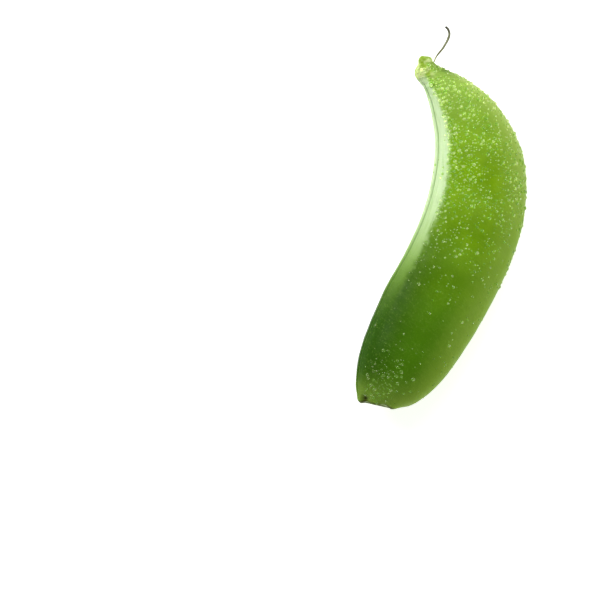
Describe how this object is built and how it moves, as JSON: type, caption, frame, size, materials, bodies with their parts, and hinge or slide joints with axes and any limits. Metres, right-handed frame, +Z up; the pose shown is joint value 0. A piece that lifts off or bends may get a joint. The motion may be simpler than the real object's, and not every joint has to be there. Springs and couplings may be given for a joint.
{
  "type": "sugar snap pea pod",
  "caption": "Plump curved sugar snap pea pod lying on its broad side, trimmed at the stem end, with a small beak and a dry thread at its tip and fine drops of water.",
  "frame": {"origin": "centre of the bounding box in X and Y, on the surface that the pod lies on", "axes": "+X along the pod from the trimmed stem end to the beak, +Y towards the ventral seam on the hollow side of the bend, +Z up across the pod's thickness"},
  "size_m": [0.0756, 0.027, 0.0132],
  "materials": {
    "pod_skin": "satin green skin with a waxy bloom, paler along the seams",
    "dry_style": "dry matte thread",
    "water": "clear drops of water"
  },
  "bodies": {
    "root": {"pod": "pod_skin", "dry_style": "dry_style"}
  },
  "joints": []
}
